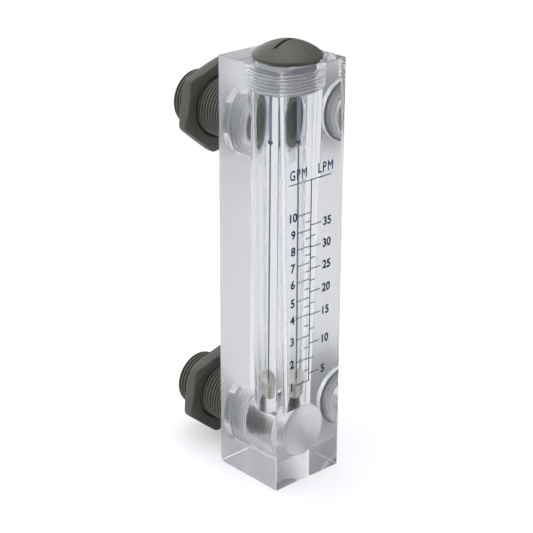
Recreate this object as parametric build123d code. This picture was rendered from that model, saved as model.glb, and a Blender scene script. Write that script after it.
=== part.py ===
from build123d import *
from math import radians, sqrt, tan
import os

# Panel flow meter: a clear square block with a tapered measuring bore, read against a scale on its
# front face. Millimetres. X runs along the front face, Y to the back where both fittings leave,
# Z up. The origin is the centre of the block's bottom face.

# Clear block
block_width = 38.0
block_depth = 38.0
block_height = 194.0
block_edge = 0.4

# Measuring bore: it stands nearer to the front face than to the back, and widens upwards
bore_offset = 3.4
bore_taper_start = 36.0
bore_bottom_radius = 8.0
bore_top_radius = 12.4

# Ports in the back face, three quarter inch pipe thread
inlet_height = 23.0
outlet_from_top = 31.0
thread_radius = 13.22
thread_gap = 0.05
thread_depth = 14.0
recess_radius = 14.4
recess_depth = 4.4
drill_radius = 12.3
inlet_drill_depth = 31.0
outlet_drill_depth = 16.8
drill_end_cone = 0.7

# Threaded fittings; the thread's turns are modelled as rings
fitting_length = 47.8
fitting_in_block = 9.7
fitting_bore_radius = 7.9
fitting_edge = 0.5
neck_length = 3.2
pipe_pitch = 1.814
pipe_thread_height = 1.16

# Panel nuts on the fittings
nut_width = 38.0
nut_thickness = 6.0
nut_corner_angle = 16.0
nut_bevel = 3.8
inlet_nut_stand_off = 19.6
outlet_nut_stand_off = 20.2
nut_turn = -20.0
nut_mouth = 1.4
nut_gap = 0.05

# Sealing rings
ring_section = 2.6
ring_gap = 0.02

# Top plug
plug_thread_radius = 13.5
plug_thread_length = 8.6
plug_pitch = 1.5
plug_thread_height = 0.95
plug_hole_depth = 12.8
plug_recess_radius = 13.95
plug_recess_depth = 2.8
cap_radius = 15.0
cap_lift = 0.4
cap_rim = 1.3
cap_dome = 5.9
slot_length = 21.0
slot_width = 1.6
slot_depth = 2.2
slot_turn = 11.0

# Guide rod with its upper stop, carried by the plug
rod_radius = 0.75
rod_in_plug = 8.0
rod_end = 0.4
glue_gap = 0.02
sleeve_radius = 1.35
bumper_radius = 2.1
bumper_thickness = 1.2
bumper_below_outlet = 6.4

# Float, resting on a collar at the rod's lower end
float_rest_height = 38.1
float_radius = 7.1
float_height = 8.7
float_rim = 1.3
float_shoulder_radius = 6.7
float_tip_radius = 5.9
float_tip_edge = 1.2
float_dish = 0.6
float_bore_gap = 0.25
float_cavity_radius = 2.3
float_cavity_depth = 2.0
collar_radius = 1.7
collar_height = 1.6

half_depth = block_depth / 2
outlet_height = block_height - outlet_from_top
plug_hole_floor = block_height - plug_hole_depth
thread_end = half_depth - thread_depth
fitting_inner_end = half_depth - fitting_in_block
bumper_height = outlet_height - bumper_below_outlet
collar_top = float_rest_height + float_cavity_depth
plug_end = block_height - plug_recess_depth - plug_thread_length
neck_radius = recess_radius - ring_section - 2 * ring_gap


def turned(profile):
    """Solid of revolution about Z from a closed half section of (radius, height) points."""
    return revolve(make_face(Polyline([(r, 0, z) for r, z in profile], close=True)), Axis.Z)


def turned_hole(profile, height=0.0):
    """A turned cutter on the measuring bore's axis."""
    return Pos(0, -bore_offset, height) * turned(profile)


def back_port(profile, height):
    """A turned piece laid along +Y at one port, its profile's heights counted from Y = 0."""
    return Pos(0, 0, height) * Rot(-90, 0, 0) * turned(profile)


def measuring_bore():
    """Tapered bore from the inlet chamber's axis up to the plug hole."""
    return turned_hole([
        (0, inlet_height),
        (bore_bottom_radius, inlet_height),
        (bore_bottom_radius, bore_taper_start),
        (bore_top_radius, plug_hole_floor),
        (0, plug_hole_floor),
    ])


def plug_hole():
    """Threaded hole for the plug, with the wider recess of its sealing ring at the top."""
    return turned_hole([
        (0, plug_hole_floor),
        (plug_thread_radius + thread_gap, plug_hole_floor),
        (plug_thread_radius + thread_gap, block_height - plug_recess_depth),
        (plug_recess_radius, block_height - plug_recess_depth),
        (plug_recess_radius, block_height),
        (0, block_height),
    ])


def thread_outline(start, end, crest, pitch, height):
    """Outline of a thread from start to end: as many whole V grooves as fit, in the middle."""
    grooves = int((end - start) / pitch)
    first = (start + end - grooves * pitch) / 2
    outline = [(crest, start)]
    for groove in range(grooves):
        bottom = first + (groove + 0.5) * pitch
        outline += [(crest, bottom - pitch / 2), (crest - height, bottom)]
    return outline + [(crest, first + grooves * pitch), (crest, end)]


def pipe_thread(start, end):
    """Outline of the fittings' thread."""
    return thread_outline(start, end, thread_radius, pipe_pitch, pipe_thread_height)


def threaded_port(height):
    """Threaded hole in the back face with the sealing ring's recess at its mouth."""
    return back_port([
        (0, thread_end),
        (thread_radius + thread_gap, thread_end),
        (thread_radius + thread_gap, half_depth - recess_depth),
        (recess_radius, half_depth - recess_depth),
        (recess_radius, half_depth),
        (0, half_depth),
    ], height)


def drilled_bore(height, depth):
    """Smooth bore that the drill leaves beyond a port's thread, with a shallow cone at its end."""
    end = half_depth - depth
    return back_port([
        (0, end - drill_end_cone),
        (drill_radius, end),
        (drill_radius, thread_end),
        (0, thread_end),
    ], height)


def acrylic_body():
    """The clear block with its bores."""
    block = Box(block_width, block_depth, block_height, align=(Align.CENTER, Align.CENTER, Align.MIN))
    block = chamfer(block.edges(), block_edge)
    block = block - measuring_bore() - plug_hole()
    for height, depth in ((inlet_height, inlet_drill_depth), (outlet_height, outlet_drill_depth)):
        block = block - threaded_port(height) - drilled_bore(height, depth)
    return block


def fitting(height):
    """Nipple threaded on both sides of a smooth neck for the sealing ring, its ends chamfered."""
    inner = fitting_inner_end
    outer = inner + fitting_length
    neck_start = half_depth - recess_depth
    neck_end = neck_start + neck_length
    return back_port([
        (fitting_bore_radius, inner),
        (thread_radius - fitting_edge, inner),
        *pipe_thread(inner + fitting_edge, neck_start),
        (neck_radius, neck_start),
        (neck_radius, neck_end),
        *pipe_thread(neck_end + thread_radius - neck_radius, outer - fitting_edge),
        (thread_radius - fitting_edge, outer),
        (fitting_bore_radius, outer),
    ], height)


def ring_radius():
    """Centre-line radius of a port's sealing ring, lying against the recess wall."""
    return recess_radius - ring_gap - ring_section / 2


def port_o_ring(height):
    """Sealing ring at the bottom of a port's recess."""
    ring = Torus(ring_radius(), ring_section / 2)
    lie = half_depth - recess_depth + ring_gap + ring_section / 2
    return Pos(0, lie, height) * Rot(-90, 0, 0) * ring


def panel_nut(height, stand_off):
    """Hexagon nut, turned to a bevel at the corners and countersunk at both mouths of its bore."""
    corner = nut_width / sqrt(3)
    drop = nut_bevel * tan(radians(nut_corner_angle))
    hexagon = extrude(RegularPolygon(corner, 6), nut_thickness)
    envelope = turned([
        (thread_radius + nut_gap + nut_mouth, 0),
        (corner - nut_bevel, 0),
        (corner, drop),
        (corner, nut_thickness - drop),
        (corner - nut_bevel, nut_thickness),
        (thread_radius + nut_gap + nut_mouth, nut_thickness),
        (thread_radius + nut_gap, nut_thickness - nut_mouth),
        (thread_radius + nut_gap, nut_mouth),
    ])
    blank = Rot(0, 0, nut_turn) * hexagon & envelope
    return Pos(0, half_depth + stand_off, height) * Rot(-90, 0, 0) * blank


def cap_sphere_radius():
    """Radius of the sphere whose cap has the plug head's width and rise."""
    return (cap_radius ** 2 + cap_dome ** 2) / (2 * cap_dome)


def top_plug():
    """Domed and slotted head, sealing neck and threaded shank with the rod's blind hole."""
    head_base = block_height + cap_lift
    rim_top = head_base + cap_rim
    apex = rim_top + cap_dome
    neck = plug_recess_radius - ring_section - 2 * ring_gap
    shank_top = block_height - plug_recess_depth
    shank = turned([
        (0, plug_end),
        (plug_thread_radius - fitting_edge, plug_end),
        *thread_outline(plug_end + fitting_edge, shank_top, plug_thread_radius, plug_pitch,
                        plug_thread_height),
        (neck, shank_top),
        (neck, head_base),
        (cap_radius, head_base),
        (cap_radius, rim_top),
        (0, rim_top),
    ])
    sphere = cap_sphere_radius()
    standing = (Align.CENTER, Align.CENTER, Align.MIN)
    dome = Pos(0, 0, apex - sphere) * Sphere(sphere)
    dome = dome & Pos(0, 0, rim_top) * Cylinder(cap_radius, cap_dome, align=standing)
    slot = Pos(0, 0, apex) * Rot(0, 0, slot_turn) * Box(slot_length, slot_width, 2 * slot_depth)
    rod_hole = Pos(0, 0, plug_end) * Cylinder(rod_radius + glue_gap, rod_in_plug, align=standing)
    return Pos(0, -bore_offset, 0) * (shank + dome - slot - rod_hole)


def plug_o_ring():
    """Sealing ring under the plug's head."""
    radius = plug_recess_radius - ring_gap - ring_section / 2
    return Pos(0, -bore_offset, block_height - plug_recess_depth + ring_gap + ring_section / 2) * Torus(
        radius, ring_section / 2)


def guide_rod():
    """Plain wire from the plug's blind hole down through the float to just below its collar."""
    bottom = collar_top - collar_height - rod_end
    length = plug_end + rod_in_plug - bottom
    rod = Cylinder(rod_radius, length, align=(Align.CENTER, Align.CENTER, Align.MIN))
    return Pos(0, -bore_offset, bottom) * chamfer(rod.edges(), rod_end / 2)


def on_rod(radius, bottom, height, edge=0.0):
    """A ring or tube fixed on the guide rod, its outer edges chamfered."""
    hole = rod_radius + glue_gap
    return Pos(0, -bore_offset, bottom) * turned([
        (hole, 0),
        (radius - edge, 0),
        (radius, edge),
        (radius, height - edge),
        (radius - edge, height),
        (hole, height),
    ])


def stop_sleeve():
    """Tube on the rod that holds the bumper down at its height."""
    bottom = bumper_height + bumper_thickness
    return on_rod(sleeve_radius, bottom, plug_end - bottom, 0.1)


def stop_bumper():
    """Soft ring that stops the float at the top of its travel."""
    return on_rod(bumper_radius, bumper_height, bumper_thickness, bumper_thickness / 4)


def rod_collar():
    """Collar at the rod's lower end, on which the float rests."""
    return on_rod(collar_radius, collar_top - collar_height, collar_height, 0.2)


def metering_float():
    """Turned float: dished top with a sharp reading rim, tapered body and a cavity for the collar."""
    bore = rod_radius + float_bore_gap
    return Pos(0, -bore_offset, float_rest_height) * turned([
        (float_cavity_radius, 0),
        (float_tip_radius - float_tip_edge, 0),
        (float_tip_radius, float_tip_edge),
        (float_shoulder_radius, float_height - float_rim - (float_radius - float_shoulder_radius)),
        (float_radius, float_height - float_rim),
        (float_radius, float_height),
        (bore, float_height - float_dish),
        (bore, float_cavity_depth),
        (float_cavity_radius, float_cavity_depth),
    ])


def build():
    """Every piece by the name of its file."""
    return {
        "acrylic_body": acrylic_body(),
        "top_plug": top_plug(),
        "plug_o_ring": plug_o_ring(),
        "guide_rod": guide_rod(),
        "stop_sleeve": stop_sleeve(),
        "stop_bumper": stop_bumper(),
        "rod_collar": rod_collar(),
        "metering_float": metering_float(),
        "inlet_fitting": fitting(inlet_height),
        "inlet_o_ring": port_o_ring(inlet_height),
        "inlet_panel_nut": panel_nut(inlet_height, inlet_nut_stand_off),
        "outlet_fitting": fitting(outlet_height),
        "outlet_o_ring": port_o_ring(outlet_height),
        "outlet_panel_nut": panel_nut(outlet_height, outlet_nut_stand_off),
    }


os.makedirs("parts", exist_ok=True)
for name, piece in build().items():
    export_step(piece, "parts/" + name + ".step")
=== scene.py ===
import math

import bmesh
import bpy
import numpy as np
from mathutils import Matrix, Vector


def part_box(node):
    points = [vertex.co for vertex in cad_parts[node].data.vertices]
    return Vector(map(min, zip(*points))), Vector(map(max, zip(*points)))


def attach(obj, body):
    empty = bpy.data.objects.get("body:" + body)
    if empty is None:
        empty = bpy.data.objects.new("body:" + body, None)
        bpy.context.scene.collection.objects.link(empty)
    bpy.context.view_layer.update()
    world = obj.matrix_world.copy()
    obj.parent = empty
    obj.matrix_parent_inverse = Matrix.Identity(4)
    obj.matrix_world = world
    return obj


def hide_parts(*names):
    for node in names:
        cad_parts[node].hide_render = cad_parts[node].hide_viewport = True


bl_info = {
    "name": "Panel Flow Meter",
    "version": (1, 0, 0),
    "blender": (4, 5, 0),
    "location": "View3D > Sidebar > Flow Meter",
    "description": "Clear block flow meter: threaded block, fittings, nuts, plug, printed scale and stage",
    "category": "Object",
}

MM = 0.001
TURN = 2 * math.pi

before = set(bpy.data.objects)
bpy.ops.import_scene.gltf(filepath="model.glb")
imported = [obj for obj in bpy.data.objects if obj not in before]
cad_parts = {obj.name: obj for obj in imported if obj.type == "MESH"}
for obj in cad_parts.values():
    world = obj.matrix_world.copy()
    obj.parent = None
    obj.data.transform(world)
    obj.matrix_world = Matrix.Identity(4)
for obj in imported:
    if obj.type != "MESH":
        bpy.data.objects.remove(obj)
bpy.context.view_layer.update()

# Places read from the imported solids, in metres
BLOCK_LOW, BLOCK_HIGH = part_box("acrylic_body")
ROD_LOW, ROD_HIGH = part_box("guide_rod")
BORE_AXIS = ((ROD_LOW.x + ROD_HIGH.x) / 2, (ROD_LOW.y + ROD_HIGH.y) / 2)
PORTS = {}
for side in ("inlet", "outlet"):
    low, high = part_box(side + "_fitting")
    PORTS[side] = {"low": low, "high": high, "height": (low.z + high.z) / 2}

# A box: its eight corners as choices of low (0) or high (1) along x, y and z, and its six faces
BOX_CORNERS = np.array([[i & 1, i >> 1 & 1, i >> 2 & 1] for i in range(8)])
BOX_FACES = np.array([(0, 2, 3, 1), (4, 5, 7, 6), (0, 1, 5, 4), (2, 6, 7, 3), (0, 4, 6, 2), (1, 3, 7, 5)])


def place(name, default, description, **limits):
    """A place along an axis in metres, given here in millimetres."""
    return bpy.props.FloatProperty(name=name, description=description, default=default * MM, precision=5,
                                   unit="LENGTH", subtype="DISTANCE", **limits)


def length(name, default, description):
    """A size in metres, given here in millimetres."""
    return place(name, default, description, min=0)


def heights(name, default, description):
    """A row of heights in metres, given here in millimetres."""
    return bpy.props.FloatVectorProperty(name=name, description=description, size=len(default), precision=5,
                                         default=[height * MM for height in default], unit="LENGTH")


def share(name, default, description):
    """A plain number from 0 to 1."""
    return bpy.props.FloatProperty(name=name, description=description, default=default, min=0, max=1,
                                   subtype="FACTOR")


def amount(name, default, description):
    """A plain number with no upper end."""
    return bpy.props.FloatProperty(name=name, description=description, default=default, min=0)


def angle(name, default, description):
    """An angle, given here in degrees."""
    return bpy.props.FloatProperty(name=name, description=description, default=math.radians(default),
                                   unit="ROTATION", subtype="ANGLE")


def colour(name, default, description):
    """A colour in linear red, green and blue."""
    return bpy.props.FloatVectorProperty(name=name, description=description, default=default, size=3,
                                         min=0, max=1, subtype="COLOR")


class FLOWMETER_PG_thread(bpy.types.PropertyGroup):
    """Screw threads of the ports, fittings and plug."""
    port_pitch: length("Port pitch", 1.814, "Distance between neighbouring crests on the pipe threads")
    port_root: length("Port thread root", 13.3, "Largest radius of the thread cut into the block")
    port_crest: length("Port thread crest", 12.15, "Smallest radius of the thread cut into the block")
    fitting_crest: length("Fitting crest", 13.2, "Largest radius of the fittings' thread")
    fitting_root: length("Fitting root", 12.05, "Smallest radius of the fittings' thread")
    plug_pitch: length("Plug pitch", 1.5, "Distance between neighbouring crests on the plug")
    plug_hole_root: length("Plug hole root", 13.55, "Largest radius of the thread in the plug hole")
    plug_hole_crest: length("Plug hole crest", 12.6, "Smallest radius of the thread in the plug hole")
    plug_crest: length("Plug crest", 13.45, "Largest radius of the plug's thread")
    plug_root: length("Plug root", 12.5, "Smallest radius of the plug's thread")
    flat: share("Cut flat", 0.125, "Share of half a pitch that is flat at a tapped hole's crests and roots")
    fitting_flat: share("Fitting flat", 0.2, "The same for the fittings and the plug")
    rounding: share("Flank rounding", 0.3, "How far the flanks ease into the flats")
    columns: bpy.props.IntProperty(name="Columns", description="Points round a cut thread", default=160,
                                   min=24)
    rows: bpy.props.IntProperty(name="Rows per pitch", description="Points along one pitch", default=16,
                                min=6)


class FLOWMETER_PG_block(bpy.types.PropertyGroup):
    """The clear block and its bores."""
    edge: length("Edge", 0.4, "Width of the polished edge round the block")
    bore_foot: place("Taper start", 36.0, "Height at which the measuring bore starts to widen")
    bore_low: length("Bore foot radius", 8.0, "Radius of the measuring bore at its foot")
    bore_top: length("Bore top radius", 12.4, "Radius of the measuring bore at the plug hole")
    plug_hole_depth: length("Plug hole depth", 12.8, "Depth of the plug hole below the block's top")
    plug_recess_radius: length("Plug recess radius", 13.95, "Radius of the recess of the plug's sealing ring")
    plug_recess_depth: length("Plug recess depth", 2.8, "Depth of that recess")
    thread_depth: length("Port thread depth", 14.0, "Depth of the port threads from the back face")
    recess_radius: length("Port recess radius", 14.4, "Radius of the recess at a port's mouth")
    recess_depth: length("Port recess depth", 4.4, "Depth of that recess")
    drill_radius: length("Drill radius", 12.3, "Radius of the smooth bore beyond a port's thread")
    drill_cone: length("Drill cone", 0.7, "Depth of the shallow cone at the end of that bore")
    inlet_drill: length("Inlet drill depth", 31.0, "Depth of the inlet's smooth bore from the back face")
    outlet_drill: length("Outlet drill depth", 16.8, "Depth of the outlet's smooth bore from the back face")


class FLOWMETER_PG_fittings(bpy.types.PropertyGroup):
    """Fittings, nuts and plug."""
    bore: length("Fitting bore", 7.9, "Radius of the way through a fitting")
    end_edge: length("End edge", 0.5, "Chamfer at a fitting's ends")
    neck: length("Neck radius", 11.76, "Radius of the smooth neck under a port's sealing ring")
    neck_length: length("Neck length", 3.2, "Length of that neck")
    nut_bore: length("Nut bore", 13.27, "Radius of the hole through a nut")
    nut_width: length("Nut width", 38.0, "Distance across a nut's flats")
    nut_corner_angle: angle("Nut bevel angle", 16.0, "Angle of the turned bevel on a nut's corners")
    nut_bevel: length("Nut bevel", 3.8, "How far that bevel reaches in from a corner")
    nut_mouth: length("Nut mouth", 1.4, "Width of the countersink at both mouths of a nut's bore")
    nut_turn: angle("Nut turn", -20.0, "How far the nuts stand turned from having two corners level")
    nut_round: length("Nut rounding", 0.35, "Radius to which a nut's edges are moulded")
    cap_radius: length("Cap radius", 15.0, "Radius of the plug's domed head")
    cap_lift: length("Cap lift", 0.4, "Gap between the block's top and the head")
    cap_rim: length("Cap rim", 1.3, "Thickness of the head at its rim")
    cap_dome: length("Cap dome", 5.9, "Rise of the dome above its rim")
    slot_length: length("Slot length", 21.0, "Length of the screwdriver slot")
    slot_width: length("Slot width", 1.6, "Width of the screwdriver slot")
    slot_depth: length("Slot depth", 2.2, "Depth of the slot below the top of the dome")
    slot_turn: angle("Slot turn", 11.0, "Turn of the slot from the front face's line")
    plug_neck: length("Plug neck", 11.31, "Radius of the plug's neck under its sealing ring")
    plug_shank: length("Plug shank", 8.6, "Length of the plug's thread")
    rod_hole: length("Rod hole", 0.77, "Radius of the hole that holds the guide rod")
    rod_hole_depth: length("Rod hole depth", 8.0, "Depth of that hole")


class FLOWMETER_PG_scale(bpy.types.PropertyGroup):
    """The flow scale printed on the front face."""
    gallons: heights("Gallon marks",
                     (49.25, 60.44, 71.36, 81.64, 89.65, 98.43, 106.07, 113.82, 121.42, 129.24),
                     "Heights of the marks for each gallon a minute")
    litres: heights("Litre marks", (52.8, 67.47, 81.24, 92.13, 103.01, 113.25, 123.33),
                    "Heights of the marks for every five litres a minute")
    top: place("Underline height", 144.0, "Height of the line under the unit words")
    print: length("Print thickness", 0.03, "Thickness of the printed ink")
    gap: length("Print gap", 0.004, "Clearance between the ink and the block")
    line: length("Line width", 0.42, "Width of the marks")
    spine: length("Spine width", 0.5, "Width of the upright line")
    left_long: length("Left long mark", 7.9, "Length of a left mark with a number")
    left_short: length("Left short mark", 3.2, "Length of a left mark without a number")
    right_long: length("Right long mark", 6.1, "Length of a right mark with a number")
    right_short: length("Right short mark", 2.9, "Length of a right mark without a number")
    digit: length("Digit height", 4.1, "Height of the numbers")
    word: length("Word height", 4.5, "Height of the unit words")
    bold: share("Number boldness", 0.032, "Rim added to the numbers' outlines, as a share of their size")
    word_bold: share("Word boldness", 0.016, "The same for the unit words")


class FLOWMETER_PG_finish(bpy.types.PropertyGroup):
    """Colours and surface finishes."""
    clear: colour("Clear tint", (0.975, 0.982, 0.992), "Tint of the clear block")
    tap_rough: share("Tapped roughness", 0.14, "Roughness of the threads cut into the block")
    tap_clear: share("Tapped clearness", 0.6, "How much light those threads let through")
    end_rough: share("Machined end roughness", 0.07, "Roughness of the block's top and bottom")
    end_clear: share("Machined end clearness", 0.78, "How much light the block's top and bottom let through")
    drill_rough: share("Drilled roughness", 0.3, "Roughness of the drilled bores")
    bore_rough: share("Bore roughness", 0.01, "Roughness of the measuring bore")
    plug_rough: share("Plug hole roughness", 0.08, "Roughness of the plug hole's thread")
    plug_clear: share("Plug hole clearness", 0.6, "How much light that thread lets through")
    recess_clear: share("Recess clearness", 0.85, "How much light the sealing rings' recesses let through")
    # Painted shade for the roots of the tapped threads
    painted_groove_shade: colour("Painted root shade", (0.5, 0.52, 0.58), "Painted shade in the tapped threads' roots")
    face_rough: share("Faced roughness", 0.1, "Roughness of the drilled bores' ends")
    face_clear: share("Faced clearness", 0.7, "How much light the drilled bores' ends let through")
    mill_rough: share("Milled roughness", 0.95, "Roughness of the milled back")
    mill_clear: share("Milled clearness", 0.62, "How much light the milled back lets through")
    cut: colour("Cut tint", (0.95, 0.955, 0.965), "Tint of the cut surfaces")
    lamp_pass: share("Lamp light let through", 0.9, "Share of the lamps' light that each clear face passes")
    plastic: colour("Olive grey", (0.098, 0.1, 0.083), "Colour of the fittings, nuts and plug")
    plastic_dark: colour("Olive grey, dark", (0.076, 0.078, 0.064), "Darker flecks of the same")
    seal: colour("Seal", (0.06, 0.08, 0.115), "Colour of the sealing rings")
    bumper: colour("Bumper", (0.005, 0.008, 0.026), "Colour of the soft stop")
    sleeve: colour("Sleeve", (0.36, 0.44, 0.58), "Colour of the tube on the rod")
    steel: colour("Steel", (0.22, 0.21, 0.23), "Colour of the rod and its collar")
    float: colour("Float steel", (0.62, 0.59, 0.53), "Colour of the float")
    ink: colour("Ink", (0.009, 0.011, 0.06), "Colour of the printed scale")


class FLOWMETER_PG_stage(bpy.types.PropertyGroup):
    """Floor, light and camera."""
    floor: colour("Floor", (0.8, 0.8, 0.81), "Colour of the floor")
    floor_radius: amount("Floor radius", 9.0, "Radius of the floor in metres")
    floor_gap: length("Floor gap", 0.05, "Clearance under the block, so that its bottom face mirrors")
    floor_near: amount("Floor shown as lit", 0.3, "Distance in metres up to which the floor shows as lit")
    floor_far: amount("Floor shown white", 0.85, "Distance in metres from which the floor shows white")
    glow: amount("Floor glow", 0.27, "How much brighter the camera sees the floor than it is lit")
    sky: colour("Sky", (0.54, 0.55, 0.57), "Soft light from behind")
    backdrop: colour("Backdrop", (0.85, 0.86, 0.885), "Backdrop as it shows through the clear block")
    backdrop_rise: share("Backdrop rise", 1.0, "How much darker the backdrop is straight above")
    backdrop_near: share("Backdrop front", 0.1, "How much darker the backdrop is towards the front")
    lift_up: amount("Light from above", 0.8, "How much brighter the soft light is straight above")
    lift_left: amount("Light from the left", 0.35, "How much brighter the soft light is on the left")
    drop_front: share("Dark front", 0.9, "How much darker the soft light is towards the front")
    drop_right: share("Dark right", 0.7, "How much darker the soft light is towards the right")
    key: amount("Key lamp", 2.8, "Power of the lamp from the left in watts")
    top: amount("Top lamp", 4.0, "Power of the lamp above in watts")
    back: amount("Back lamp", 4.0, "Power of the lamp from behind in watts")
    fill: amount("Fill lamp", 1.0, "Power of the lamp from the front right in watts")
    azimuth: angle("Camera azimuth", -42.21, "Direction the camera looks in, from +Y towards -X")
    elevation: angle("Camera elevation", 22.73, "Angle of the camera above the horizon")
    roll: angle("Camera roll", -0.26, "Turn of the camera about its own axis")
    lens: amount("Lens", 114.46, "Focal length in millimetres on a 36 mm sensor")
    camera: bpy.props.FloatVectorProperty(name="Camera place", description="Where the camera stands",
                                          default=(-0.46754, -0.50634, 0.386836), size=3,
                                          subtype="TRANSLATION", unit="LENGTH")


class FLOWMETER_PG_meter(bpy.types.PropertyGroup):
    """All settings of the flow meter."""
    thread: bpy.props.PointerProperty(type=FLOWMETER_PG_thread)
    block: bpy.props.PointerProperty(type=FLOWMETER_PG_block)
    fittings: bpy.props.PointerProperty(type=FLOWMETER_PG_fittings)
    scale: bpy.props.PointerProperty(type=FLOWMETER_PG_scale)
    finish: bpy.props.PointerProperty(type=FLOWMETER_PG_finish)
    stage: bpy.props.PointerProperty(type=FLOWMETER_PG_stage)


# Surfaces


def ease(x):
    """3x^2 - 2x^3 between 0 and 1, flat outside."""
    x = np.clip(x, 0, 1)
    return x * x * (3 - 2 * x)


def stations(start, end, step):
    """Even places from start to end, about one step apart."""
    return np.linspace(start, end, max(1, round(abs(end - start) / step)) + 1)


def thread_wave(phase, flat, rounding):
    """Height of a thread between -1 at its root and 1 at its crest, for a place counted in turns.
    The distance to the nearest crest falls in a straight line between two flats and is eased at both."""
    away = np.abs(((phase + 0.5) % 1.0) * 2 - 1)
    ramp = np.clip((away - flat) / (1 - 2 * flat), 0, 1)
    return 2 * (rounding * ease(ramp) + (1 - rounding) * ramp) - 1


def thread_rows(start, end, root, crest, pitch, thread, run_in=0.0, run_out=0.0):
    """Rows of (place, mean radius, half depth) along a thread that rises out of its root over run_in
    and sinks back into it over run_out."""
    place = stations(start, end, pitch / thread.rows)
    rise = np.ones(len(place))
    if run_in:
        rise = np.minimum(rise, ease((place - start) / run_in))
    if run_out:
        rise = np.minimum(rise, ease((end - place) / run_out))
    half = (crest - root) / 2
    return np.stack([place, root + half * rise, half * rise], -1)


def plain(*points):
    """Rows with no thread, from (place, radius) pairs."""
    return np.array([(place, radius, 0) for place, radius in points], float)


def turned_points(rows, columns, pitch, form, axis, centre):
    """Points of a turned surface: radius(place, turn) = mean + half depth * wave(place / pitch - turn).
    The form is a thread's flat share and rounding, or None where there is no thread.
    The axis runs up through centre = (x, y), or along +Y through centre = (x, z)."""
    turn = np.linspace(0, TURN, columns, endpoint=False)
    place = np.repeat(rows[:, :1], columns, 1)
    wave = thread_wave(place / pitch - turn / TURN, *form) if form else 0 * place
    radius = rows[:, 1:2] + rows[:, 2:3] * wave
    across, up = radius * np.cos(turn), radius * np.sin(turn)
    if axis == "Z":
        points = np.stack([across + centre[0], up + centre[1], place], -1)
    else:
        points = np.stack([across + centre[0], place, centre[1] - up], -1)
    return points


def grid_faces(rows, columns, closed):
    """Four-sided faces of a grid that is joined round its columns, and round its rows if closed."""
    column = np.arange(columns)
    beside = (column + 1) % columns
    row = np.arange(rows if closed else rows - 1)[:, None]
    above = (row + 1) % rows
    corners = [row * columns + column, row * columns + beside,
               above * columns + beside, above * columns + column]
    return np.stack(corners, -1).reshape(-1, 4).tolist()


def end_faces(rows, columns):
    """One face over the first row of a grid and one over its last."""
    return [list(range(columns))[::-1], list(range((rows - 1) * columns, rows * columns))]


def new_piece(name, points, faces):
    """A mesh object with its place in its vertices."""
    mesh = bpy.data.meshes.new(name)
    mesh.from_pydata(np.asarray(points, float).reshape(-1, 3).tolist(), [], faces)
    mesh.validate()
    piece = bpy.data.objects.new(name, mesh)
    bpy.context.scene.collection.objects.link(piece)
    return piece


def turned_piece(name, rows, columns, pitch, form, axis, centre, ring=False):
    """Solid of a turned surface: closed by a flat face at each end, or a ring whose last row joins its
    first."""
    points = turned_points(rows, columns, pitch, form, axis, centre)
    faces = grid_faces(len(rows), columns, ring)
    return new_piece(name, points, faces if ring else faces + end_faces(len(rows), columns))


def cuboid(name, low, high):
    """Box between two corners, its eight points worked out from every choice of low and high."""
    return new_piece(name, np.where(BOX_CORNERS, np.array(high), np.array(low)), BOX_FACES.tolist())


def bake_modifiers(piece):
    """Puts what a piece's modifiers make into its mesh."""
    graph = bpy.context.evaluated_depsgraph_get()
    made = bpy.data.meshes.new_from_object(piece.evaluated_get(graph))
    piece.modifiers.clear()
    piece.data = made
    made.name = piece.name


def cut_away(piece, cutters):
    """Takes the cutters out of a piece and deletes them."""
    for cutter in cutters:
        cut = piece.modifiers.new(cutter.name, "BOOLEAN")
        cut.operation, cut.solver, cut.object = "DIFFERENCE", "EXACT", cutter
    bake_modifiers(piece)
    for cutter in cutters:
        bpy.data.objects.remove(cutter)


def read_all(items, attribute, size=1, kind=float):
    """One attribute of all faces, corners or points of a mesh as an array."""
    values = np.zeros(len(items) * size, kind)
    items.foreach_get(attribute, values)
    return values.reshape(-1, size) if size > 1 else values


def finish_piece(piece, body, nodes, materials, sharp_above):
    """Shades a piece smooth with its edges kept sharp above an angle in degrees, and gives it its materials
    and its place on the frame."""
    piece.data.shade_smooth()
    piece.data.set_sharp_from_angle(angle=math.radians(sharp_above))
    piece.data.materials.clear()
    for material in materials:
        piece.data.materials.append(material)
    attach(piece, body)
    if nodes:
        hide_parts(*nodes)


# Node groups and materials

ACRYLIC_IOR = 1.49

# Distances from a port's axis between which the painted shade inside a fitting's bore comes in, and between
# which its thread, with the painted shade in its roots, starts
PAINTED_BORE_SHADE = (8.6 * MM, 8.2 * MM)
PAINTED_THREAD_SHADE = (11.8 * MM, 12.0 * MM)

# How far inside a tapped thread's largest radius its painted root shade starts and is full
PAINTED_ROOT_SHADE = (0.32 * MM, 0.12 * MM)


def give(tree, socket, value):
    """Joins a socket to another one, or sets it to a value."""
    if isinstance(value, bpy.types.NodeSocket):
        tree.links.new(value, socket)
    else:
        socket.default_value = value


def add_node(tree, kind, inputs=None, **settings):
    """A shader node of a kind with its settings. Its inputs go by name or number."""
    node = tree.nodes.new("ShaderNode" + kind)
    for name, value in settings.items():
        setattr(node, name, value)
    for key, value in (inputs or {}).items():
        give(tree, node.inputs[key], value)
    return node


def calc(tree, operation, a, b=None, clamp=False):
    """A Math node; a and b are sockets or numbers."""
    inputs = {0: a} if b is None else {0: a, 1: b}
    return add_node(tree, "Math", inputs, operation=operation, use_clamp=clamp).outputs[0]


def mix_shaders(tree, mask, first, second):
    """One shader where a mask is 0 and another where it is 1."""
    return add_node(tree, "MixShader", {0: mask, 1: first, 2: second}).outputs[0]


def toned(colour, factor):
    """A colour made lighter or darker."""
    return tuple(min(1.0, part * factor) for part in colour)


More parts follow.
